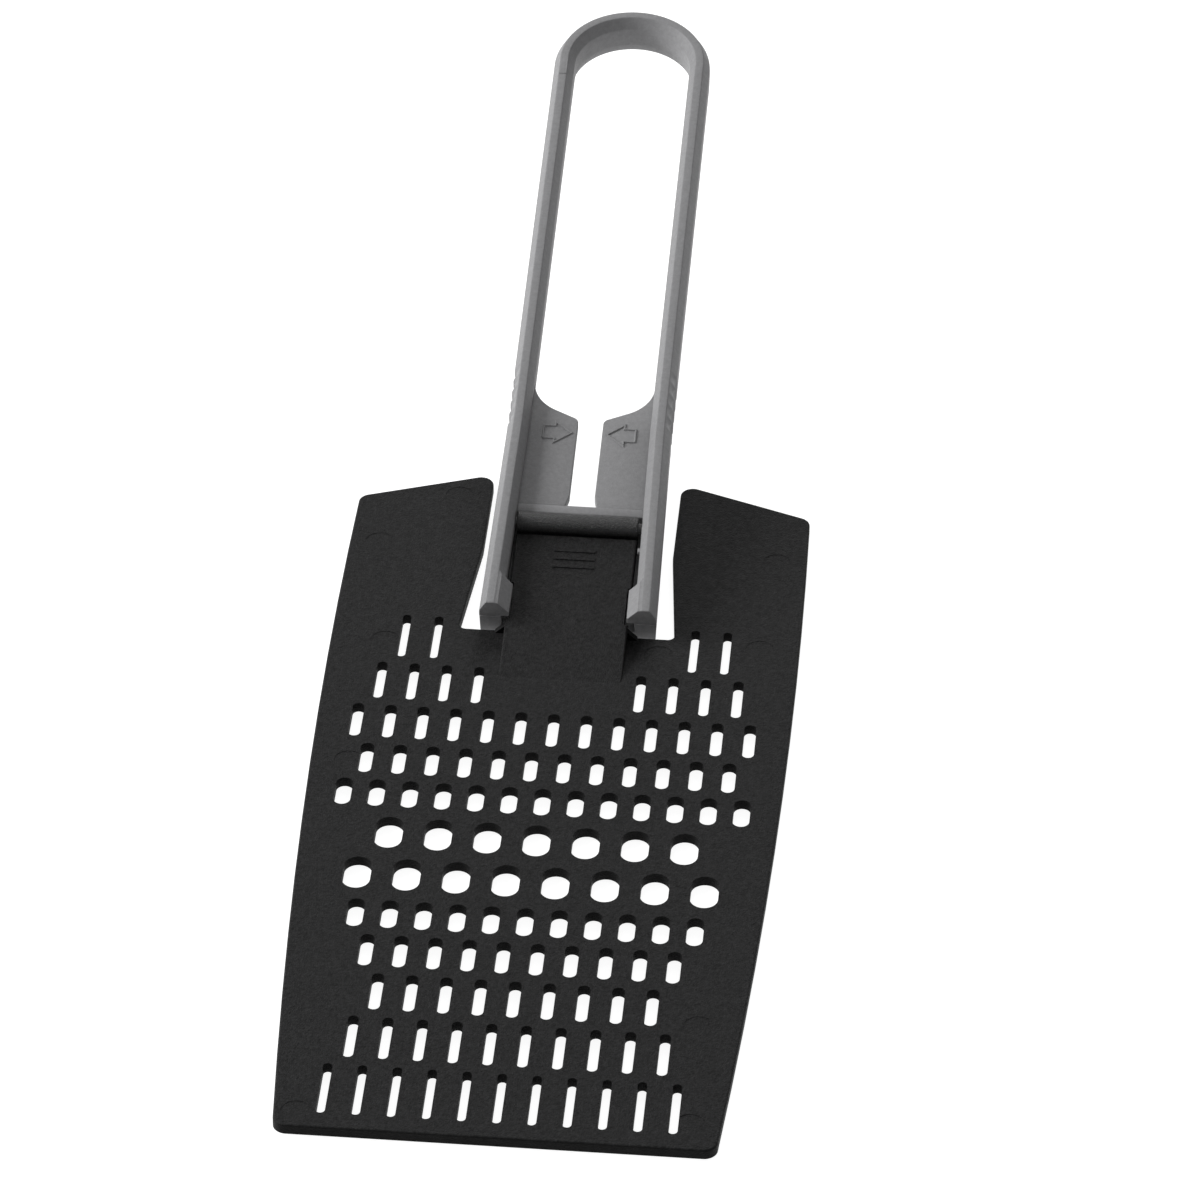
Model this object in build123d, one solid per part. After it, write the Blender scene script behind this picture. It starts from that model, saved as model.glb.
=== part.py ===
from build123d import *
import os
from math import cos, radians, sin, sqrt, tan

# Flat folding sieve: a perforated plate with a raked tongue, and a one-piece loop
# handle that snaps over the tongue and folds forward over the plate.
# Millimetres. +Z is up, +Y runs from the plate to the handle, X is across.
# Origin: under the middle of the tongue's root line, on the plate's flat underside.

# ---------------------------------------------------------------- driving sizes
PITCH = 5.5  # sideways spacing of the slots

# plate outline
PLATE_T = 1.8
FRONT_Y = -118.2  # straight front edge
SIDE_HALF = 39.95  # half width where the bowed sides are widest
SIDE_APEX_Y = 15.0
SIDE_RADIUS = 1640.0  # the sides are long shallow arcs
WING_OUTER_Y = 50.4  # wing's top edge at its outer corner
WING_SLOPE = 20.5  # degrees, the top edges climb towards the middle
CORNER_R = 2.2
EDGE_ROUND = 0.35

# gap between the two wings, where the handle's legs stand and swing
GAP_HALF = 16.5
GAP_BOTTOM_HALF = 18.5
GAP_BOTTOM_Y = 13.2
GAP_FLARE_Y = 37.0
GAP_CORNER_R = 1.2

# slots: (width, length) from the outermost row to the one beside the big holes
SLOT_SIZES = ((1.48, 11.85), (1.76, 10.1), (2.03, 8.95), (2.31, 7.9), (2.8, 7.04))
BIG_SLOT = (4.6, 8.1)
BIG_PITCH = 8.1
BRIDGE = 1.83  # plastic left between the ends of two small slots
BIG_BRIDGE = 2.75  # the same beside a big hole
MIDDLE_Y = -49.4  # halfway between the two rows of big holes
ROWS_BACK = (7, 13, 12, 13)  # from the big holes towards the handle, full rows
ROWS_FRONT = (8, 11, 10, 9, 10, 11)  # from the big holes towards the front edge

# ejector-pin marks in the plate's top
PIN_MARK_R = 2.5
PIN_MARK_DEPTH = 0.06
PIN_MARKS = (
    (16.2, 8.5),
    (-30.6, 8.5),
    (33.2, 11.6),
    (34.6, 37.0),
    (-34.6, 37.0),
    (-22.1, 52.0),
    (-33.0, -25.3),
    (29.8, -88.7),
    (30.1, -112.4),
    (-31.2, -114.8),
)

# raked tongue and hinge barrel, in the tongue's own frame: x, s along it, n normal
RAKE = 10.0
TONGUE_HALF = 10.5
TONGUE_T = 2.2
TONGUE_END = 34.0
END_CHAMFER = 0.25
NECK_TOP = -1.1  # floor of the groove between the tongue's end and the barrel
HINGE_S = 36.7
BARREL_R = 1.9
BORE_R = 1.3
BORE_DEPTH = 2.4
RUN_IN = 5.0  # length of slab below the root line, cut away at the plate
BAR_MARK = (7.2, 0.8)
MARK_S = 28.6
MARK_STEP = 1.9
MARK_HEIGHT = 0.15

# handle: legs of one section, flat top between slanted facets
SIDE_PLAY = 0.15  # the handle rests this far over on its pivots
LEG_W = 3.8
LEG_TOP = 3.4
LEG_BOTTOM = -4.1
FACET_FROM = 1.4  # the flanks are upright below this, slanted above
TOP_HALF = 0.75
FACET_ROUND = 0.8
TOP_ROUND = 0.3
LEG_HALF = 12.5  # half the distance between the legs' middles, and the loop's radius
LOOP_S = 154.0  # centre of the loop's half circle
SPLAY_S = 58.0  # below this the legs spread a little
SPLAY = 1.0
FOOT_S = 13.85
FLEX_S = 72.5  # where the squeezed arm is split from the bow
FLEX_GAP = 0.4
PIN_R = 0.85
PIN_LENGTH = 2.0

# lips of the feet, which hold the tongue's edges, and the pockets under them
LIP_S = 21.9
LIP_REACH = 1.27
LIP_FLOOR = 0.1
LIP_EDGE = 1.15
LIP_TOP = (-1.25, 3.3)
POCKET_HALF = 9.8
POCKET_FROM = 13.6
POCKET_TO = 22.2

# sloped gussets in the corners between the tongue's sides and the gap in the plate
GUSSET_HALF = 12.2
GUSSET_FROM = 12.2
GUSSET_TO = 13.4
GUSSET_TOP = 3.4

# ledges inside the legs, which carry the tongue's edges from below
LEDGE_FROM = 14.15
LEDGE_TO = 42.0
LEDGE_TOP = -2.4
LEDGE_REACH = 1.9
LEDGE_CHAMFER = 0.8

# crossbar between the legs, the fulcrum of the squeeze
BAR_FROM = 38.9
BAR_TO = 41.0
BAR_TOP = 0.4
BAR_BOTTOM = -1.8
BAR_END_GAP = 0.16

# thumb webs that carry the arrows
WEB_TOP = 0.3
WEB_BOTTOM = -1.2
WEB_INNER = 2.2
WEB_INNER_FOOT = 2.75
WEB_CORNER_S = 62.3
WEB_SLOPE = 27.0
WEB_SWEEP_R = 7.5
WEB_RELIEF = 2.2  # length of the slanted corner at the foot of the inner edge
WEB_CORNER_R = 1.2
WEB_ROOT = 0.6
WEB_GAP = 0.12  # at the leg; it widens towards the middle for the squeeze
SQUEEZE_MAX = 2.2

# outline arrows on the webs
ARROW_TIP = 2.75
ARROW_NECK = 6.3
ARROW_TAIL = 8.3
ARROW_S = 58.8
ARROW_BODY_HALF = 1.75
ARROW_HEAD_HALF = 3.0
ARROW_LINE = 0.45
ARROW_HEIGHT = 0.2

# grip scallops on the outer flanks
SCALLOP_COUNT = 5
SCALLOP_PITCH = 2.8
SCALLOP_FIRST = 60.2
SCALLOP_R = 2.2
SCALLOP_DEPTH = 0.5

SMALL_ROUND = 0.2
EPS = 0.01
AMPLE = 60.0  # reach of cutting boxes that only need to be large enough


def rake_frame(shape):
    """Place a shape drawn in the tongue's frame into the part's frame."""
    return Pos(0, 0, PLATE_T) * Rot(RAKE, 0, 0) * shape


def box(x0, x1, y0, y1, z0, z1):
    """Axis-aligned box between two corners."""
    middle = Pos((x0 + x1) / 2, (y0 + y1) / 2, (z0 + z1) / 2)
    return middle * Box(abs(x1 - x0), abs(y1 - y0), abs(z1 - z0))


def side_half(y):
    """Half width of the plate's bowed side at a given y."""
    return SIDE_HALF - SIDE_RADIUS + sqrt(SIDE_RADIUS**2 - (y - SIDE_APEX_Y) ** 2)


def mirrored(shape):
    """The same shape on the other side of X = 0."""
    return mirror(shape, about=Plane.YZ)


# ---------------------------------------------------------------------- the plate
def plate_blank():
    """Solid plate with bowed sides, sloping wing tops and the gap for the handle."""
    top_y = WING_OUTER_Y + (side_half(WING_OUTER_Y) - GAP_HALF) * tan(radians(WING_SLOPE))
    front = (side_half(FRONT_Y), FRONT_Y)
    waist = (side_half(-40.0), -40.0)
    outer = (side_half(WING_OUTER_Y), WING_OUTER_Y)
    inner = (GAP_HALF, top_y)
    flare = (GAP_HALF, GAP_FLARE_Y)
    bottom = (GAP_BOTTOM_HALF, GAP_BOTTOM_Y)
    right = [
        Line((0, FRONT_Y), front),
        ThreePointArc(front, waist, outer),
        Line(outer, inner),
        Line(inner, flare),
        Line(flare, bottom),
        Line(bottom, (0, GAP_BOTTOM_Y)),
    ]
    face = make_face(right + [Line((0, GAP_BOTTOM_Y), (0, FRONT_Y))])
    blank = extrude(face, PLATE_T)
    blank = blank + mirrored(blank)
    upright = blank.edges().filter_by(Axis.Z)
    corners = [e for e in upright if abs(e.center().X) > 1]
    low_gap = [e for e in corners if abs(e.center().Y - GAP_BOTTOM_Y) < 1]
    bends = [e for e in corners if abs(e.center().Y - GAP_FLARE_Y) < 1]
    outside = [e for e in corners if e not in low_gap and e not in bends]
    blank = fillet(outside, CORNER_R)
    upright = blank.edges().filter_by(Axis.Z)
    low_gap = [e for e in upright if abs(e.center().Y - GAP_BOTTOM_Y) < 0.5]
    low_gap = [e for e in low_gap if abs(e.center().X) > 1]
    blank = fillet(low_gap, GAP_CORNER_R)
    top = [e for e in blank.edges() if abs(e.center().Z - PLATE_T) < EPS]
    under_tongue = [e for e in top if abs(e.center().Y - GAP_BOTTOM_Y) < EPS]
    return fillet([e for e in top if e not in under_tongue], EDGE_ROUND)


def slot(x, y, size):
    """Cutter for one round-ended slot that runs along Y."""
    width, length = size
    shape = SlotOverall(length, width, rotation=90)
    return Pos(x, y, -1) * extrude(shape, PLATE_T + 2)


def row_of_slots(y, size, pitch, places):
    """One cutter for each place in a row; places are in units of the pitch."""
    return [slot(place * pitch, y, size) for place in places]


def centred(count):
    """Evenly spaced places about zero, one unit apart."""
    return [index - (count - 1) / 2 for index in range(count)]


def slot_cutters():
    """All the perforations, row by row outwards from the two rows of big holes."""
    length = {index: size[1] for index, size in enumerate(SLOT_SIZES)}
    beside_tongue = ([2.5, 3.5, 4.5, 5.5], [4.0, 5.0])
    cutters = []
    for direction, counts in ((1, ROWS_BACK), (-1, ROWS_FRONT)):
        y = MIDDLE_Y + direction * (BIG_SLOT[1] + BIG_BRIDGE) / 2
        cutters += row_of_slots(y, BIG_SLOT, BIG_PITCH, centred(counts[0]))
        previous = BIG_SLOT[1]
        bridge = BIG_BRIDGE
        rows = [centred(count) for count in counts[1:]]
        if direction > 0:
            rows += [[-p for p in side] + side for side in beside_tongue]
        for step, places in enumerate(rows):
            size_index = len(SLOT_SIZES) - 1 - step
            y += direction * ((previous + length[size_index]) / 2 + bridge)
            cutters += row_of_slots(y, SLOT_SIZES[size_index], PITCH, places)
            previous = length[size_index]
            bridge = BRIDGE
    return cutters


def pin_marks():
    """Shallow round marks that the ejector pins leave in the plate's top."""
    disc = Cylinder(PIN_MARK_R, 2 * PIN_MARK_DEPTH)
    return [Pos(x, y, PLATE_T) * disc for x, y in PIN_MARKS]


def make_plate():
    """The perforated plate."""
    return plate_blank() - slot_cutters() - pin_marks()


# --------------------------------------------------------------- tongue and barrel
def tongue_slab():
    """The tongue's slab with its neck, long enough to run into the plate."""
    section = Rectangle(2 * TONGUE_HALF, TONGUE_T, align=(Align.CENTER, Align.MAX))
    section = fillet(section.vertices().group_by(Axis.Y)[-1], EDGE_ROUND)
    slab = Pos(0, -RUN_IN, 0) * Rot(90, 0, 0) * extrude(section, -(RUN_IN + TONGUE_END))
    end = slab.faces().sort_by(Axis.Y)[-1]
    slab = chamfer(end.edges().sort_by(Axis.Z)[-1], END_CHAMFER)
    neck = box(-TONGUE_HALF, TONGUE_HALF, TONGUE_END - EPS, HINGE_S, -TONGUE_T, NECK_TOP)
    barrel_room = Rot(0, 90, 0) * Cylinder(BARREL_R, 2 * TONGUE_HALF + 1)
    return slab + (neck - Pos(0, HINGE_S, 0) * barrel_room)


def tongue_mark():
    """Three short raised bars, the plain mark on the tongue's face."""
    bar = fillet(Box(BAR_MARK[0], BAR_MARK[1], 0.5).edges().filter_by(Axis.Z), SMALL_ROUND)
    bars = [Pos(0, MARK_S + step * MARK_STEP, MARK_HEIGHT - 0.25) * bar for step in (-1, 0, 1)]
    return bars


def make_tongue():
    """Raised tongue: a solid ramp on the plate, then a free slab out to the barrel."""
    tongue = tongue_slab() + tongue_mark()
    for side in (-1, 1):
        edge = side * (TONGUE_HALF + 1)
        tongue -= box(side * POCKET_HALF, edge, POCKET_FROM, POCKET_TO, -TONGUE_T - 1, 1)
    tongue = rake_frame(tongue)
    under = box(-TONGUE_HALF, TONGUE_HALF, 0, POCKET_FROM, -AMPLE, -TONGUE_T + EPS)
    tongue += rake_frame(under) & box(-AMPLE, AMPLE, 0, GAP_BOTTOM_Y, 0, AMPLE)
    tongue &= box(-AMPLE, AMPLE, 0, AMPLE, PLATE_T, AMPLE)
    return tongue + right_gusset() + mirrored(right_gusset())


def right_gusset():
    """Sloped gusset from the tongue's right side down to the plate."""
    section = make_face(
        Polyline(
            (TONGUE_HALF - EPS, PLATE_T),
            (GUSSET_HALF, PLATE_T),
            (TONGUE_HALF - EPS, GUSSET_TOP),
            close=True,
        )
    )
    return Pos(0, GUSSET_FROM, 0) * Rot(90, 0, 0) * extrude(section, GUSSET_FROM - GUSSET_TO)


def make_barrel():
    """Hinge barrel across the tongue's end, bored at both ends for the pivots."""
    barrel = Cylinder(BARREL_R, 2 * TONGUE_HALF)
    for side in (-1, 1):
        middle = side * (TONGUE_HALF - BORE_DEPTH / 2 + 0.5)
        barrel -= Pos(0, 0, middle) * Cylinder(BORE_R, BORE_DEPTH + 1)
    rims = barrel.edges().filter_by(GeomType.CIRCLE)
    outer = [e for e in rims if abs(e.radius - BARREL_R) < EPS]
    barrel = fillet(outer, SMALL_ROUND)
    return rake_frame(Pos(0, HINGE_S, 0) * Rot(0, 90, 0) * barrel)


# --------------------------------------------------------------------- the handle
def leg_section():
    """Leg section on XY: x across the leg, y up; the top narrows in slanted facets."""
    half = LEG_W / 2
    face = make_face(
        Polyline(
            (-half, LEG_BOTTOM),
            (half, LEG_BOTTOM),
            (half, FACET_FROM),
            (TOP_HALF, LEG_TOP),
            (-TOP_HALF, LEG_TOP),
            (-half, FACET_FROM),
            close=True,
        )
    )
    face = fillet([v for v in face.vertices() if abs(v.Y - FACET_FROM) < EPS], FACET_ROUND)
    face = fillet([v for v in face.vertices() if abs(v.Y - LEG_TOP) < EPS], TOP_ROUND)
    return fillet([v for v in face.vertices() if abs(v.Y - LEG_BOTTOM) < EPS], EDGE_ROUND)


def leg(x, s0, s1):
    """Straight leg from s0 to s1."""
    return Pos(x, s0, 0) * Rot(90, 0, 0) * extrude(leg_section(), s0 - s1)


def make_bow():
    """Loop end and the upper legs."""
    start = FLEX_S + FLEX_GAP / 2
    legs = leg(-LEG_HALF, start, LOOP_S) + leg(LEG_HALF, start, LOOP_S)
    ring = Rot(90, 0, 0) * (Pos(LEG_HALF, 0) * leg_section())
    loop = Pos(0, LOOP_S, 0) * revolve(ring, Axis.Z, 180)
    return rake_frame(Pos(SIDE_PLAY, 0, 0) * (legs + loop))


def make_crossbar():
    """Bar between the legs just behind the barrel."""
    half = LEG_HALF - LEG_W / 2 - BAR_END_GAP
    half += (SPLAY_S - BAR_TO) * tan(radians(SPLAY))
    bar = box(-half, half, BAR_FROM, BAR_TO, BAR_BOTTOM, BAR_TOP)
    bar = fillet(bar.edges().filter_by(Axis.X), EDGE_ROUND)
    return rake_frame(Pos(SIDE_PLAY, 0, 0) * bar)


def web_outline():
    """Outline of the right thumb web: swept top edge, slanted foot."""
    leg_face = LEG_HALF - LEG_W / 2
    root = leg_face + WEB_ROOT
    bend = radians(WEB_SLOPE)
    arc_x = leg_face - WEB_SWEEP_R
    low_x = arc_x + WEB_SWEEP_R * sin(bend)
    low_s = WEB_CORNER_S + (low_x - WEB_INNER) * tan(bend)
    top_s = low_s + WEB_SWEEP_R * cos(bend)
    half_turn = (radians(90) + bend) / 2
    mid_x = arc_x + WEB_SWEEP_R * sin(half_turn)
    mid_s = top_s - WEB_SWEEP_R * cos(half_turn)
    foot_out = BAR_TO + WEB_GAP
    foot_in = foot_out + (leg_face - WEB_INNER_FOOT) * tan(radians(SQUEEZE_MAX + 0.3))
    return [
        Line((root, foot_out), (root, top_s)),
        Line((root, top_s), (leg_face, top_s)),
        ThreePointArc((leg_face, top_s), (mid_x, mid_s), (low_x, low_s)),
        Line((low_x, low_s), (WEB_INNER, WEB_CORNER_S)),
        Line((WEB_INNER, WEB_CORNER_S), (WEB_INNER, foot_in + WEB_RELIEF)),
        Line((WEB_INNER, foot_in + WEB_RELIEF), (WEB_INNER_FOOT, foot_in)),
        Line((WEB_INNER_FOOT, foot_in), (root, foot_out)),
    ]


def arrow():
    """Raised outline arrow that points at the other web."""
    head = (ARROW_TIP, ARROW_S)
    outline = Polyline(
        head,
        (ARROW_NECK, ARROW_S + ARROW_HEAD_HALF),
        (ARROW_NECK, ARROW_S + ARROW_BODY_HALF),
        (ARROW_TAIL, ARROW_S + ARROW_BODY_HALF),
        (ARROW_TAIL, ARROW_S - ARROW_BODY_HALF),
        (ARROW_NECK, ARROW_S - ARROW_BODY_HALF),
        (ARROW_NECK, ARROW_S - ARROW_HEAD_HALF),
        close=True,
    )
    face = make_face(outline)
    ring = face - offset(face, -ARROW_LINE)
    return Pos(0, 0, WEB_TOP - EPS) * extrude(ring, ARROW_HEIGHT + EPS)


def right_web():
    """Thin thumb web inside the right leg, with its arrow."""
    blank = Pos(0, 0, WEB_BOTTOM) * extrude(make_face(web_outline()), WEB_TOP - WEB_BOTTOM)
    upright = blank.edges().filter_by(Axis.Z)
    corner = [e for e in upright if abs(e.center().Y - WEB_CORNER_S) < 0.5]
    blank = fillet([e for e in corner if abs(e.center().X - WEB_INNER) < 0.5], WEB_CORNER_R)
    return blank - right_leg() + arrow()


def lip():
    """Lip inside the right foot, drawn on the leg's own axis and carried along it."""
    inner = -LEG_W / 2
    section = make_face(
        Polyline(
            (inner - LIP_REACH, LIP_FLOOR),
            (inner - LIP_REACH, LIP_EDGE),
            LIP_TOP,
            (0, LIP_TOP[1]),
            (0, LIP_FLOOR),
            close=True,
        )
    )
    solid = Pos(0, FOOT_S, 0) * Rot(90, 0, 0) * extrude(section, FOOT_S - LIP_S)
    corner = make_face(
        Polyline(
            (inner - LIP_REACH - 1, LIP_S - LIP_REACH - 1),
            (inner - LIP_REACH - 1, LIP_S + 1),
            (inner + 1, LIP_S + 1),
            close=True,
        )
    )
    return solid - Pos(0, 0, -1) * extrude(corner, AMPLE)


def ledge():
    """Ledge inside the right leg, drawn on the leg's own axis."""
    inner = -LEG_W / 2
    bar = box(inner - LEDGE_REACH, 0, LEDGE_FROM, LEDGE_TO, LEG_BOTTOM, LEDGE_TOP)
    return chamfer(bar.edges().filter_by(Axis.Z).sort_by(Axis.X)[:2], LEDGE_CHAMFER)


def right_leg():
    """Right squeeze leg: splayed lower part with lip and ledge, straight upper part."""
    run = SPLAY_S - FOOT_S
    low = leg(0, -run, 1) + Pos(0, -SPLAY_S, 0) * (lip() + ledge())
    low = Rot(0, 0, SPLAY) * low
    high = leg(0, -1, FLEX_S - FLEX_GAP / 2 - SPLAY_S)
    mitre = Rot(0, 0, SPLAY / 2)
    low &= mitre * box(-AMPLE, AMPLE, -AMPLE, 0, -AMPLE, AMPLE)
    high &= mitre * box(-AMPLE, AMPLE, 0, AMPLE, -AMPLE, AMPLE)
    return Pos(LEG_HALF, SPLAY_S, 0) * (low + high)


def right_arm():
    """Right squeeze arm: the leg with its pivot pin and grip scallops."""
    hinge_x = LEG_HALF + (SPLAY_S - HINGE_S) * tan(radians(SPLAY))
    pin_from = hinge_x - LEG_W / 2 - PIN_LENGTH
    pin = Rot(0, 90, 0) * Cylinder(PIN_R, PIN_LENGTH + 0.5)
    arm = right_leg() + Pos(pin_from + PIN_LENGTH / 2 + 0.25, HINGE_S, 0) * pin
    flank = LEG_HALF + LEG_W / 2 + SCALLOP_R - SCALLOP_DEPTH
    for index in range(SCALLOP_COUNT):
        s = SCALLOP_FIRST + index * SCALLOP_PITCH
        arm -= Pos(flank, s, 0) * Cylinder(SCALLOP_R, AMPLE)
    return arm


def on_side(shape, side):
    """Put a right-hand piece of the handle on the left (-1) or right (+1)."""
    if side < 0:
        shape = mirrored(shape)
    return rake_frame(Pos(SIDE_PLAY, 0, 0) * shape)


# ------------------------------------------------------------------------- output
def main():
    os.makedirs("parts", exist_ok=True)
    nodes = {
        "sieve_plate": make_plate(),
        "tongue": make_tongue(),
        "hinge_barrel": make_barrel(),
        "handle_bow": make_bow(),
        "crossbar": make_crossbar(),
        "left_arm": on_side(right_arm(), -1),
        "right_arm": on_side(right_arm(), 1),
        "left_thumb_web": on_side(right_web(), -1),
        "right_thumb_web": on_side(right_web(), 1),
    }
    for name, shape in nodes.items():
        export_step(shape, f"parts/{name}.step")
        print(name, round(shape.volume, 1), "mm3")


main()
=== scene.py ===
import math

import bmesh
import bpy
from mathutils import Matrix, Vector


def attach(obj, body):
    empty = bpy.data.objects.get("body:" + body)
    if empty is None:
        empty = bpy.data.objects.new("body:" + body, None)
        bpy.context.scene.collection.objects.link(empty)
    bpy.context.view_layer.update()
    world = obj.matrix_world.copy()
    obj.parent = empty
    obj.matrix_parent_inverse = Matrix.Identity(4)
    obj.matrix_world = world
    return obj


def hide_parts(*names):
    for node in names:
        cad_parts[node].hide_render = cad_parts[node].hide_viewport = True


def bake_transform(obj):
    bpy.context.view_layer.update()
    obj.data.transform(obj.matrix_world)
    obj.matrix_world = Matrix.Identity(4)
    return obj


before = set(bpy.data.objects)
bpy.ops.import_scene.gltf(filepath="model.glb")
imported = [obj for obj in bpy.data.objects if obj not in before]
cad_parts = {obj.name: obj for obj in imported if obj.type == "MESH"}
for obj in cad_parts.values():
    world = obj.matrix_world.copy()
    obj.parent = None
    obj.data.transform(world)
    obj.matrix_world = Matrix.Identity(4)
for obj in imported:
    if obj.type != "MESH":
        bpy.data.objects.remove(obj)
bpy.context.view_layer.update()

MM = 0.001

# the raked frame that tongue and handle are drawn in: x across, s along, n normal, in mm
RAKE = math.radians(10.0)
PLATE_T = 1.8
SIDE_PLAY = 0.15

# leg section: u outwards from the leg's centre line, n up, widest at the parting line
LEG_HALF_W = 1.9
LEG_TOP = 3.4
LEG_BOTTOM = -4.1
TOP_HALF = 0.75
TOP_ROUND = 0.3
FACET_FROM = 1.4
FACET_ROUND = 0.8
BOTTOM_ROUND = 0.45
PARTING = 0.1
DRAFT_UP = 0.02
DRAFT_DOWN = 0.03
DOUBLED = 0.02
UPPER_FLANK = 0.6
INNER_FLANK = (-1.0, -2.0)
OUTER_FLANK = (-2.2, -1.0)

# small facet at the bottom of the inner flank
LOW_FACET_IN = 0.5
LOW_FACET_LEAN = 0.08
LOW_FACET_RISE = 0.24
LOW_FACET_SOFT = 0.06
LOW_FACET_RUN = 0.2

# the leg's centre line
LEG_HALF = 12.5
SPLAY_S = 58.0
SPLAY = math.radians(1.0)
SPLAY_EASE = 4.0
LOOP_S = 154.0

# end of the foot: its lower part stands back by a step
FOOT_S = 13.85
FOOT_STEP = 0.3
FOOT_ROUND = 0.16
FOOT_FLAT = 0.35

# ledge inside the leg, below the tongue's edge
LEDGE_FROM = 14.15
LEDGE_TO = 42.0
LEDGE_TOP = -2.4
LEDGE_REACH = 1.9
LEDGE_RAMP = 0.8
LEDGE_INNER_U = -0.5
LEDGE_UNDERCUT = 0.15
LEDGE_NEAR = 0.1

# lip of the foot
LIP_REACH = 1.27
LIP_TOP = (-1.25, 3.3)
LIP_EDGE = 1.15
LIP_SHELF = 0.2
LIP_FULL_S = 20.6
LIP_END_S = 21.9

# grip scallops
SCALLOP_COUNT = 5
SCALLOP_PITCH = 2.8
SCALLOP_FIRST = 60.2
SCALLOP_R = 2.2
SCALLOP_DEPTH = 0.5

# pivot pins
HINGE_S = 36.7
PIN_R = 0.85
PIN_LENGTH = 2.0
PIN_SINK = 0.3

# crossbar behind the barrel, sunk a little into both legs
BAR_FROM = 38.9
BAR_TO = 41.0
BAR_TOP = 0.4
BAR_BOTTOM = -1.8
BAR_SINK = 0.2
BAR_EDGE = 0.3

# thumb webs, joined to crossbar and legs
WEB_TOP = 0.3
WEB_BOTTOM = -1.2
WEB_INNER = 2.2
WEB_INNER_FOOT = 2.75
WEB_CORNER_S = 62.3
WEB_CORNER_R = 1.3
WEB_SLOPE = math.radians(27.0)
WEB_SWEEP_R = 7.5
WEB_RELIEF = 2.6
WEB_KNEE_R = 1.5
WEB_SINK = 0.45
WEB_OVERLAP = 0.1
WEB_EDGE = 0.15

# raised outline arrows on the webs
ARROW_TIP = 2.75
ARROW_NECK = 6.3
ARROW_TAIL = 8.3
ARROW_S = 58.8
ARROW_BODY_HALF = 1.75
ARROW_HEAD_HALF = 3.0
ARROW_LINE = 0.45
ARROW_SOFT = 0.13
ARROW_HEIGHT = 0.2
ARROW_SINK = 0.05

# mark of the gate on top of the left leg
GATE_HALF = 0.72
GATE_FROM = 149.2
GATE_TO = 153.2
GATE_PROUD = 0.1
GATE_SINK = 0.15
GATE_RIDGE = 0.22
GATE_PAD_EDGE = 0.06
GATE_RIDGE_EDGE = 0.04

# nub inside the right foot
NUB_S = 31.3
NUB_HALF = 0.5
NUB_PROUD = 0.45
NUB_SINK = 0.3
NUB_BOTTOM = -0.7
NUB_TOP = 0.2
NUB_EDGE = 0.12

# thin flash across the end of each foot
FLASH_HALF = 1.75
FLASH_PROUD = 0.14
FLASH_UP = 0.14
FLASH_SINK = 0.2
FLASH_EDGE = 0.03

# edges sharper than this, in degrees, stay hard
SHARP = 32.0
SHARP_FLAT = 40.0


def rake(x, s, n):
    """A point of the raked frame, mm, in the part's frame, metres."""
    y = s * math.cos(RAKE) - n * math.sin(RAKE)
    z = PLATE_T + s * math.sin(RAKE) + n * math.cos(RAKE)
    return Vector((x, y, z)) * MM


# ------------------------------------------------------------------ materials
NOISE_RANGE = (0.3, 0.7)
MOTTLE_RANGE = (0.32, 0.68)
# up part of a face's normal over which the painted wall shade fades out
WALL_SHADE_RANGE = (0.4, 0.9)
BLUE_SHARE = 1.02
GLOSS_SCALE = 900.0
GRAIN_SCALE = 4200.0
WAVE_SCALE = 90.0


def principled(name, roughness, specular):
    """A new material with its Principled shader, constants set on its sockets."""
    material = bpy.data.materials.new(name)
    material.use_nodes = True
    shader = material.node_tree.nodes["Principled BSDF"]
    shader.inputs["Roughness"].default_value = roughness
    shader.inputs["Specular IOR Level"].default_value = specular
    return material, shader


def noise(tree, scale, detail, rough=0.5):
    """Noise in the object's own coordinates."""
    where = tree.nodes.new("ShaderNodeTexCoord")
    texture = tree.nodes.new("ShaderNodeTexNoise")
    texture.inputs["Scale"].default_value = scale
    texture.inputs["Detail"].default_value = detail
    texture.inputs["Roughness"].default_value = rough
    tree.links.new(where.outputs["Object"], texture.inputs["Vector"])
    return texture.outputs["Fac"]


def ramp(tree, value, stops):
    """Colour ramp from two (position, rgb) stops."""
    node = tree.nodes.new("ShaderNodeValToRGB")
    for element, (position, colour) in zip(node.color_ramp.elements, stops):
        element.position = position
        element.color = (*colour, 1.0)
    tree.links.new(value, node.inputs["Fac"])
    return node.outputs["Color"]


def map_range(tree, value, source, target):
    """Map a value from one (low, high) range to another."""
    node = tree.nodes.new("ShaderNodeMapRange")
    node.inputs["From Min"].default_value, node.inputs["From Max"].default_value = source
    node.inputs["To Min"].default_value, node.inputs["To Max"].default_value = target
    tree.links.new(value, node.inputs["Value"])
    return node.outputs["Result"]


def bump(tree, shader, value, distance, before=None):
    """Add a bump layer in front of the shader's normal."""
    node = tree.nodes.new("ShaderNodeBump")
    node.inputs["Strength"].default_value = 1.0
    node.inputs["Distance"].default_value = distance
    tree.links.new(value, node.inputs["Height"])
    if before is not None:
        tree.links.new(before, node.inputs["Normal"])
    tree.links.new(node.outputs["Normal"], shader.inputs["Normal"])
    return node.outputs["Normal"]


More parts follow.
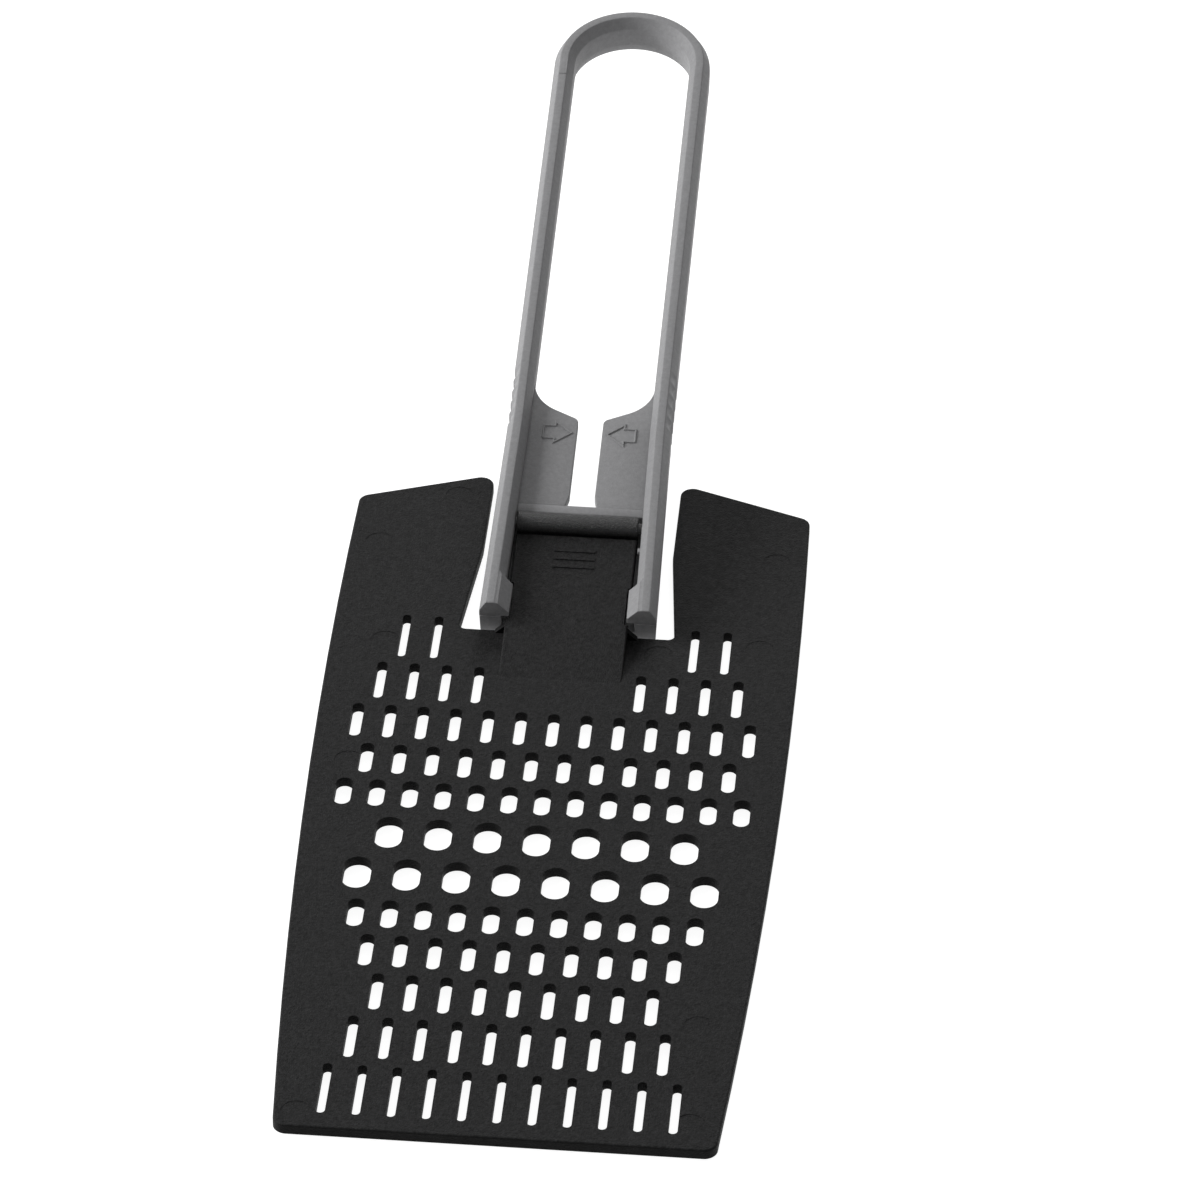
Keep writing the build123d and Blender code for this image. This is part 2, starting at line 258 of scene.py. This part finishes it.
def paint_wall_shade(tree, colour, share):
    """Painted shade: scale a colour by share where a face stands upright, as in holes and on
    edges.
    """
    where = tree.nodes.new("ShaderNodeTexCoord")
    split = tree.nodes.new("ShaderNodeSeparateXYZ")
    level = tree.nodes.new("ShaderNodeMath")
    level.operation = "ABSOLUTE"
    scale = tree.nodes.new("ShaderNodeVectorMath")
    scale.operation = "SCALE"
    tree.links.new(where.outputs["Normal"], split.inputs["Vector"])
    tree.links.new(split.outputs["Z"], level.inputs[0])
    wall_shade_factor = map_range(tree, level.outputs["Value"], WALL_SHADE_RANGE, (share, 1.0))
    tree.links.new(colour, scale.inputs[0])
    tree.links.new(wall_shade_factor, scale.inputs["Scale"])
    return scale.outputs["Vector"]


def moulded(name, tone, speck, rough, grain, wave, specular, wall_shade=1.0):
    """Moulded plastic: faint mottling, grain of the mould's skin, slow unevenness, and painted
    shade on upright faces if asked for.
    """
    material, shader = principled(name, rough[0], specular)
    tree = material.node_tree
    stops = [(at, (grey, grey, grey * BLUE_SHARE)) for at, grey in zip(MOTTLE_RANGE, tone)]
    colour = ramp(tree, noise(tree, speck, 4.0, 0.7), stops)
    # painted shade: upright faces, such as hole walls, are darkened
    if wall_shade < 1.0:
        colour = paint_wall_shade(tree, colour, wall_shade)
    tree.links.new(colour, shader.inputs["Base Color"])
    gloss = map_range(tree, noise(tree, GLOSS_SCALE, 4.0), NOISE_RANGE, rough)
    tree.links.new(gloss, shader.inputs["Roughness"])
    fine = bump(tree, shader, noise(tree, GRAIN_SCALE, 3.0), grain)
    bump(tree, shader, noise(tree, WAVE_SCALE, 2.0), wave, fine)
    return material


# the plate's upright faces, its hole walls and edges, carry painted shade at 0.15 of their
# colour
plate_plastic = moulded(
    "plate_plastic", tone=(0.002, 0.018), speck=1800.0, rough=(0.5, 0.64),
    grain=0.0002, wave=0.00012, specular=0.1, wall_shade=0.15,
)
barrel_plastic = moulded(
    "barrel_plastic", tone=(0.005, 0.018), speck=2200.0, rough=(0.4, 0.54),
    grain=0.0002, wave=0.0001, specular=0.5,
)
handle_plastic = moulded(
    "handle_plastic", tone=(0.154, 0.186), speck=1300.0, rough=(0.5, 0.6),
    grain=0.00005, wave=0.00006, specular=0.2,
)


def wear(obj, material):
    """Give an object its one material."""
    obj.data.materials.clear()
    obj.data.materials.append(material)


def finish_mesh(bm, name, sharp=SHARP):
    """Mesh object of the handle's plastic from a bmesh, smooth but for its real edges."""
    mesh = bpy.data.meshes.new(name)
    bm.to_mesh(mesh)
    bm.free()
    mesh.polygons.foreach_set("use_smooth", [True] * len(mesh.polygons))
    mesh.set_sharp_from_angle(angle=math.radians(sharp))
    obj = bpy.data.objects.new(name, mesh)
    bpy.context.scene.collection.objects.link(obj)
    wear(obj, handle_plastic)
    return obj


# -------------------------------------------------------------------- shapes
def arc(centre, radius, first, last, count):
    """Points on an arc, degrees, both ends included."""
    step = (last - first) / (count - 1)
    angles = [math.radians(first + step * i) for i in range(count)]
    return [(centre[0] + radius * math.cos(a), centre[1] + radius * math.sin(a)) for a in angles]


def rounded(before, corner, after, radius, count):
    """Points of a fillet at a corner between two straight lines."""
    corner = Vector(corner)
    to_before = (Vector(before) - corner).normalized()
    to_after = (Vector(after) - corner).normalized()
    half = to_before.angle(to_after) / 2
    centre = corner + (to_before + to_after).normalized() * (radius / math.sin(half))
    first = corner + to_before * (radius / math.tan(half)) - centre
    last = corner + to_after * (radius / math.tan(half)) - centre
    points = []
    for i in range(count):
        share = i / (count - 1)
        spoke = (first * (1 - share) + last * share).normalized() * radius
        points.append(tuple(centre + spoke))
    return points


def inset(points, amount):
    """A closed counter-clockwise outline moved inwards by amount."""
    out = []
    for i, here in enumerate(points):
        here = Vector(here)
        to_here = (here - Vector(points[i - 1])).normalized()
        onward = (Vector(points[(i + 1) % len(points)]) - here).normalized()
        first = Vector((-to_here.y, to_here.x))
        second = Vector((-onward.y, onward.x))
        shift = (first + second) * (amount / (1 + first.dot(second)))
        out.append(tuple(here + shift))
    return out


def steps(first, last, size):
    """Even steps from first to last, last left out."""
    count = max(1, round(abs(last - first) / size))
    return [first + (last - first) * i / count for i in range(count)]


def moved(point, target, share):
    """A point moved towards its target by a share from 0 to 1."""
    return tuple(a + (b - a) * share for a, b in zip(point, target))


def skin(bm, first, second):
    """Faces between two rings of equally many points."""
    count = len(first)
    for i in range(count):
        j = (i + 1) % count
        bm.faces.new((first[i], first[j], second[j], second[i]))


def slab(name, low, high, edge):
    """Bevelled block in the raked frame, between two corners."""
    low, high = Vector(low), Vector(high)
    centre = (low + high) / 2
    bm = bmesh.new()
    bmesh.ops.create_cube(bm, size=1.0)
    bmesh.ops.scale(bm, verts=bm.verts, vec=high - low)
    bmesh.ops.bevel(
        bm, geom=bm.edges, offset=edge, segments=3, profile=0.5, affect="EDGES"
    )
    for vert in bm.verts:
        vert.co = rake(*(vert.co + centre))
    return finish_mesh(bm, name)


def stacked(name, side, layers, closed):
    """Piece from outlines stacked in n, on one side: capped when closed, else a ring."""
    bm = bmesh.new()
    rings = []
    for outline, n in layers:
        rings.append([bm.verts.new(rake(side * x + SIDE_PLAY, s, n)) for x, s in outline])
    for first, second in zip(rings, rings[1:]):
        skin(bm, first, second)
    if closed:
        bm.faces.new(rings[0])
        bm.faces.new(rings[-1])
    else:
        skin(bm, rings[-1], rings[0])
    bmesh.ops.recalc_face_normals(bm, faces=bm.faces)
    return finish_mesh(bm, name, SHARP_FLAT)


# -------------------------------------------------------------------- handle
def side_at(n):
    """Half width of the leg at n: widest at the parting line, with draft both ways."""
    if n > PARTING:
        return LEG_HALF_W - (n - PARTING) * DRAFT_UP
    return LEG_HALF_W - (PARTING - n) * DRAFT_DOWN


def leg_points():
    """Leg section for the right leg, and where its lower part starts and ends.

    The parting line and the ledge's top are doubled, so that they can open into a step.
    """
    above, below = PARTING + DOUBLED, PARTING - DOUBLED
    shoulder_u, foot_u = side_at(FACET_FROM), side_at(LEG_BOTTOM)
    top, shoulder, flank = (-TOP_HALF, LEG_TOP), (-shoulder_u, FACET_FROM), (-side_at(0.0), 0.0)
    facet = [(0.0, LEG_TOP)]
    facet += rounded((0.0, LEG_TOP), top, shoulder, TOP_ROUND, 4)
    facet += rounded(top, shoulder, flank, FACET_ROUND, 5)
    facet += [(-side_at(n), n) for n in (LIP_EDGE, UPPER_FLANK, above)]
    parted_inner = len(facet)
    ledge_line = (LEDGE_TOP + DOUBLED, LEDGE_TOP - DOUBLED)
    points = facet + [(-side_at(n), n) for n in (below, *INNER_FLANK, *ledge_line)]
    low_u = LOW_FACET_IN - foot_u
    points += [
        (low_u - LOW_FACET_LEAN, LEG_BOTTOM + LOW_FACET_RISE),
        (low_u, LEG_BOTTOM + LOW_FACET_SOFT),
        (low_u + LOW_FACET_RUN, LEG_BOTTOM),
        (0.0, LEG_BOTTOM),
    ]
    corner = (foot_u - BOTTOM_ROUND, LEG_BOTTOM + BOTTOM_ROUND)
    points += arc(corner, BOTTOM_ROUND, 270, 360, 6)
    points += [(side_at(n), n) for n in (*OUTER_FLANK, below)]
    parted_outer = len(points)
    points += [(-u, n) for u, n in reversed(facet[1:])]
    return points, parted_inner, parted_outer


def lipped(points, parted, share):
    """Push the inner flank out into the lip, by a share from 0 to 1."""
    reach = -LEG_HALF_W - LIP_REACH
    top_u, top_n = LIP_TOP
    out = list(points)
    for i in range(parted):
        u, n = points[i]
        if n > top_n or u > 0:
            continue
        if n > LIP_EDGE:
            along = (top_n - n) / (top_n - LIP_EDGE)
            target = (top_u + (reach - top_u) * along, n)
        else:
            target = (reach, PARTING if n < LIP_SHELF else n)
        out[i] = moved((u, n), target, share)
    return out


def ledged(points, share):
    """Push the bottom of the inner flank out into the ledge, by a share from 0 to 1."""
    reach = -LEG_HALF_W - LEDGE_REACH
    out = list(points)
    for i, (u, n) in enumerate(points):
        if n < LEDGE_TOP and u < LEDGE_INNER_U:
            undercut = LEDGE_UNDERCUT if n < LEG_BOTTOM + LEDGE_NEAR else 0.0
            level = LEDGE_TOP if n > LEDGE_TOP - LEDGE_NEAR else n
            out[i] = moved((u, n), (reach + undercut, level), share)
    return out


def scallop_depth(s):
    """How deep the outer flank is cut at s."""
    deepest = 0.0
    for index in range(SCALLOP_COUNT):
        away = abs(s - SCALLOP_FIRST - index * SCALLOP_PITCH)
        if away < SCALLOP_R:
            cut = math.sqrt(SCALLOP_R**2 - away**2) - SCALLOP_R + SCALLOP_DEPTH
            deepest = max(deepest, cut)
    return deepest


def path(distance):
    """Leg's centre line by distance from the loop's springing: x, s and heading."""
    if distance > 0:
        angle = distance / LEG_HALF
        return LEG_HALF * math.cos(angle), LOOP_S + LEG_HALF * math.sin(angle), angle
    s = LOOP_S + distance
    below = SPLAY_S - s
    if below <= -SPLAY_EASE:
        return LEG_HALF, s, 0.0
    if below < SPLAY_EASE:
        eased = (below + SPLAY_EASE) ** 2 / (4 * SPLAY_EASE)
        turn = SPLAY * (below + SPLAY_EASE) / (2 * SPLAY_EASE)
        return LEG_HALF + eased * math.tan(SPLAY), s, turn
    return LEG_HALF + below * math.tan(SPLAY), s, SPLAY


def on_leg(side, distance, u, n, back=0.0):
    """Place of a section's point; back moves it along the leg, away from the foot's end."""
    x, s, heading = path(distance)
    out_x, out_s = math.cos(heading), math.sin(heading)
    if distance <= 0:
        out_s = -out_s
    x += u * out_x - back * out_s
    s += u * out_s + back * out_x
    return rake(side * x + SIDE_PLAY, s, n)


def handle_stations():
    """Where along the leg the sections stand, as distance from the loop's springing."""
    # where each stretch of the leg starts, and the step between its sections
    stretches = (
        (FOOT_S + FOOT_ROUND + FOOT_FLAT, 0.3),
        (LEDGE_FROM + LEDGE_RAMP, 1.2),
        (LIP_FULL_S, 0.35),
        (LIP_END_S, 2.0),
        (LEDGE_TO - LEDGE_RAMP, 0.4),
        (LEDGE_TO, 2.0),
        (SCALLOP_FIRST - SCALLOP_PITCH, 0.2),
        (SCALLOP_FIRST + SCALLOP_COUNT * SCALLOP_PITCH, 2.5),
        (LOOP_S, 0.6),
    )
    s_values = []
    for (first, size), (last, _) in zip(stretches, stretches[1:]):
        s_values += steps(first, last, size)
    quarter = LEG_HALF * math.pi / 2
    loop_step = stretches[-1][1]
    return [s - LOOP_S for s in s_values] + steps(0.0, quarter, loop_step) + [quarter]


def shrink(points, amount):
    """Draw a run of points towards their middle by about amount."""
    drawn = []
    for values in zip(*points):
        middle = (max(values) + min(values)) / 2
        half = (max(values) - min(values)) / 2
        scale = 1 - amount / half
        drawn.append([middle + (value - middle) * scale for value in values])
    return list(zip(*drawn))


def handle_half(name, side):
    """One half of the one-piece handle: foot, leg and quarter of the loop."""
    base, inner, outer = leg_points()
    upper = list(range(outer, len(base))) + list(range(inner))
    lower = list(range(inner, outer))
    bm = bmesh.new()
    rings = []
    foot_points = lipped(base, inner, 1.0)
    # the foot's end is rounded in three rings: how far each stands back and is drawn in
    for back, draw_in in (
        (0.0, FOOT_ROUND),
        (0.3 * FOOT_ROUND, 0.3 * FOOT_ROUND),
        (FOOT_ROUND, 0.0),
    ):
        ring = [None] * len(base)
        for group, step in ((upper, 0.0), (lower, FOOT_STEP)):
            for i, (u, n) in zip(group, shrink([foot_points[i] for i in group], draw_in)):
                ring[i] = on_leg(side, FOOT_S - LOOP_S, u, n, back + step)
        rings.append([bm.verts.new(place) for place in ring])
    for distance in handle_stations():
        s = LOOP_S + distance
        lip = min(1.0, max(0.0, (LIP_END_S - s) / (LIP_END_S - LIP_FULL_S)))
        points = lipped(base, inner, lip)
        ledge = min(1.0, (s - LEDGE_FROM) / LEDGE_RAMP, (LEDGE_TO - s) / LEDGE_RAMP)
        points = ledged(points, max(0.0, ledge))
        flank = LEG_HALF_W - (scallop_depth(s) if distance < 0 else 0.0)
        places = [on_leg(side, distance, min(u, flank), n) for u, n in points]
        rings.append([bm.verts.new(place) for place in places])

    for first, second in zip(rings, rings[1:]):
        skin(bm, first, second)
    end = rings[0]
    bm.faces.new([end[i] for i in upper])
    bm.faces.new([end[i] for i in lower])
    bm.faces.new([end[upper[-1]], end[upper[0]], end[lower[-1]], end[lower[0]]])
    bm.faces.new(rings[-1])
    bmesh.ops.recalc_face_normals(bm, faces=bm.faces)
    return finish_mesh(bm, name)


def inner_face(s):
    """How far the straight part of the leg's inner flank stands from the handle's middle."""
    return LEG_HALF - LEG_HALF_W + (SPLAY_S - s) * math.tan(SPLAY)


def web_outline():
    """Outline of the right thumb web, counter-clockwise, in x and s."""
    face = LEG_HALF - LEG_HALF_W
    root_top = face + WEB_SINK
    root_foot = inner_face(BAR_TO) + WEB_SINK
    foot = BAR_TO - WEB_OVERLAP
    arc_x = face - WEB_SWEEP_R
    low_x = arc_x + WEB_SWEEP_R * math.sin(WEB_SLOPE)
    low_s = WEB_CORNER_S + (low_x - WEB_INNER) * math.tan(WEB_SLOPE)
    top_s = low_s + WEB_SWEEP_R * math.cos(WEB_SLOPE)
    sweep = arc((arc_x, top_s), WEB_SWEEP_R, 0, math.degrees(WEB_SLOPE) - 90, 14)
    corner = (WEB_INNER, WEB_CORNER_S)
    knee = (WEB_INNER, foot + WEB_RELIEF)
    points = [(WEB_INNER_FOOT, foot), (root_foot, foot), (root_top, SPLAY_S), (root_top, top_s)]
    points += sweep
    points += rounded((low_x, low_s), corner, knee, WEB_CORNER_R, 8)
    points += rounded(corner, knee, (WEB_INNER_FOOT, foot), WEB_KNEE_R, 4)
    return points


def thumb_web(name, side, node):
    """Web between the crossbar and the leg, sunk a little into both."""
    outline = web_outline()
    layers = [(outline, WEB_BOTTOM)]
    for turn in (0.0, math.pi / 6, math.pi / 3, math.pi / 2):
        drawn_in = WEB_EDGE * (1 - math.cos(turn))
        dropped = WEB_EDGE * (1 - math.sin(turn))
        layers.append((inset(outline, drawn_in), WEB_TOP - dropped))
    web = stacked(name, side, layers, True)
    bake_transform(web)
    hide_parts(node)


def web_arrow(name, side, body):
    """Raised outline arrow with soft flanks."""
    outline = [
        (ARROW_TIP, ARROW_S),
        (ARROW_NECK, ARROW_S - ARROW_HEAD_HALF),
        (ARROW_NECK, ARROW_S - ARROW_BODY_HALF),
        (ARROW_TAIL, ARROW_S - ARROW_BODY_HALF),
        (ARROW_TAIL, ARROW_S + ARROW_BODY_HALF),
        (ARROW_NECK, ARROW_S + ARROW_BODY_HALF),
        (ARROW_NECK, ARROW_S + ARROW_HEAD_HALF),
    ]
    low, high = WEB_TOP - ARROW_SINK, WEB_TOP + ARROW_HEIGHT
    layers = [
        (outline, low),
        (inset(outline, ARROW_SOFT), high),
        (inset(outline, ARROW_LINE - ARROW_SOFT), high),
        (inset(outline, ARROW_LINE), low),
    ]
    arrow = stacked(name, side, layers, False)
    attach(arrow, body)


def pivot_pin(name, side, body):
    """Pin inside a leg, in the bore of the barrel."""
    bm = bmesh.new()
    bmesh.ops.create_cone(
        bm, cap_ends=True, segments=32, radius1=PIN_R, radius2=PIN_R, depth=PIN_LENGTH + PIN_SINK
    )
    across = Matrix.Rotation(math.pi / 2, 3, "Y")
    bmesh.ops.rotate(bm, verts=bm.verts, cent=(0, 0, 0), matrix=across)
    middle = side * (inner_face(HINGE_S) - (PIN_LENGTH - PIN_SINK) / 2) + SIDE_PLAY
    for vert in bm.verts:
        vert.co = rake(vert.co.x + middle, vert.co.y + HINGE_S, vert.co.z)
    pin = finish_mesh(bm, name)
    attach(pin, body)


def foot_flash(name, side, body):
    """Thin flash along the parting line across the end of a foot."""
    middle = side * (inner_face(FOOT_S) + LEG_HALF_W) + SIDE_PLAY
    low = (middle - FLASH_HALF, FOOT_S - FLASH_PROUD, PARTING - FLASH_UP / 2)
    high = (middle + FLASH_HALF, FOOT_S + FOOT_STEP + FLASH_SINK, PARTING + FLASH_UP / 2)
    flash = slab(name, low, high, FLASH_EDGE)
    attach(flash, body)


for name, side, body, node in (
    ("handle_left_half", -1, "left_squeeze", "left_arm"),
    ("handle_right_half", 1, "right_squeeze", "right_arm"),
):
    half = handle_half(name, side)
    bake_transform(half)
    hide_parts(node, "handle_bow")

thumb_web("left_web_joined", -1, "left_thumb_web")
thumb_web("right_web_joined", 1, "right_thumb_web")
web_arrow("left_arrow", -1, "left_squeeze")
web_arrow("right_arrow", 1, "right_squeeze")

gate_x = SIDE_PLAY - LEG_HALF
gate = slab(
    "gate_pad",
    (gate_x - GATE_HALF, GATE_FROM, LEG_TOP - GATE_SINK),
    (gate_x + GATE_HALF, GATE_TO, LEG_TOP + GATE_PROUD),
    GATE_PAD_EDGE,
)
gate_edge = slab(
    "gate_edge",
    (gate_x + GATE_HALF - GATE_RIDGE, GATE_FROM, LEG_TOP),
    (gate_x + GATE_HALF, GATE_TO, LEG_TOP + 2 * GATE_PROUD),
    GATE_RIDGE_EDGE,
)
for piece in (gate, gate_edge):
    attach(piece, "handle")

nub_x = SIDE_PLAY + inner_face(NUB_S)
nub = slab(
    "inner_nub",
    (nub_x - NUB_PROUD, NUB_S - NUB_HALF, NUB_BOTTOM),
    (nub_x + NUB_SINK, NUB_S + NUB_HALF, NUB_TOP),
    NUB_EDGE,
)
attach(nub, "right_squeeze")

bar_half = inner_face(BAR_TO) + BAR_SINK
bar = slab(
    "crossbar_joined",
    (SIDE_PLAY - bar_half, BAR_FROM, BAR_BOTTOM),
    (SIDE_PLAY + bar_half, BAR_TO, BAR_TOP),
    BAR_EDGE,
)
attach(bar, "handle")
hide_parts("crossbar")

pivot_pin("left_pin", -1, "left_squeeze")
pivot_pin("right_pin", 1, "right_squeeze")
foot_flash("left_flash", -1, "left_squeeze")
foot_flash("right_flash", 1, "right_squeeze")

# ---------------------------------------------- nodes that keep their CAD shape
for node in ("sieve_plate", "tongue"):
    wear(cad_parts[node], plate_plastic)
wear(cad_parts["hinge_barrel"], barrel_plastic)

# ---------------------------------------------------------------------- studio
WORLD_STRENGTH = 0.45
FLOOR_GREY = 0.3
FLOOR_GLOW = 0.9
FLOOR_HALF = 3.0
FLOOR_BELOW = 0.0001
WHITE = (1, 1, 1, 1)


def area_light(name, place, size, power):
    """Square soft light that points at the origin."""
    data = bpy.data.lights.new(name, "AREA")
    data.shape = "SQUARE"
    data.size = size
    data.energy = power
    light = bpy.data.objects.new(name, data)
    light.location = place
    light.rotation_euler = (-Vector(place)).to_track_quat("-Z", "Y").to_euler()
    bpy.context.scene.collection.objects.link(light)


area_light("key", (-1.1, 0.15, 0.6), size=0.5, power=24.0)
area_light("back", (0.1, 1.5, 1.0), size=0.8, power=8.5)

world = bpy.data.worlds.new("studio")
bpy.context.scene.world = world
world.use_nodes = True
background = world.node_tree.nodes["Background"]
background.inputs["Color"].default_value = WHITE
background.inputs["Strength"].default_value = WORLD_STRENGTH

floor_material, floor_shader = principled("floor", roughness=0.7, specular=0.2)
floor_shader.inputs["Base Color"].default_value = (FLOOR_GREY, FLOOR_GREY, FLOOR_GREY, 1)
floor_shader.inputs["Emission Color"].default_value = WHITE
floor_shader.inputs["Emission Strength"].default_value = FLOOR_GLOW
bm = bmesh.new()
bmesh.ops.create_grid(bm, x_segments=1, y_segments=1, size=FLOOR_HALF)
floor_mesh = bpy.data.meshes.new("floor")
bm.to_mesh(floor_mesh)
bm.free()
floor_mesh.materials.append(floor_material)
floor = bpy.data.objects.new("floor", floor_mesh)
floor.location = (0, 0, -FLOOR_BELOW)
bpy.context.scene.collection.objects.link(floor)

# ---------------------------------------------------------------------- camera
SENSOR_WIDTH = 36.0
FOCAL_LENGTH = 199.05
CLIP_END = 20.0
CAMERA_PLACE = (0.0737, -0.8929, 0.6773)
CAMERA_FORWARD = (-0.0603, 0.8034, -0.5923)
CAMERA_RIGHT = (0.9966, 0.0816, 0.0092)

camera_data = bpy.data.cameras.new("camera")
camera_data.sensor_width = SENSOR_WIDTH
camera_data.lens = FOCAL_LENGTH
camera_data.clip_end = CLIP_END
camera = bpy.data.objects.new("camera", camera_data)
forward = Vector(CAMERA_FORWARD).normalized()
right = Vector(CAMERA_RIGHT)
right = (right - forward * right.dot(forward)).normalized()
turn = Matrix((right, right.cross(forward), -forward)).transposed()
camera.matrix_world = Matrix.Translation(CAMERA_PLACE) @ turn.to_4x4()
bpy.context.scene.collection.objects.link(camera)
bpy.context.scene.camera = camera
bpy.context.scene.view_settings.view_transform = "Standard"
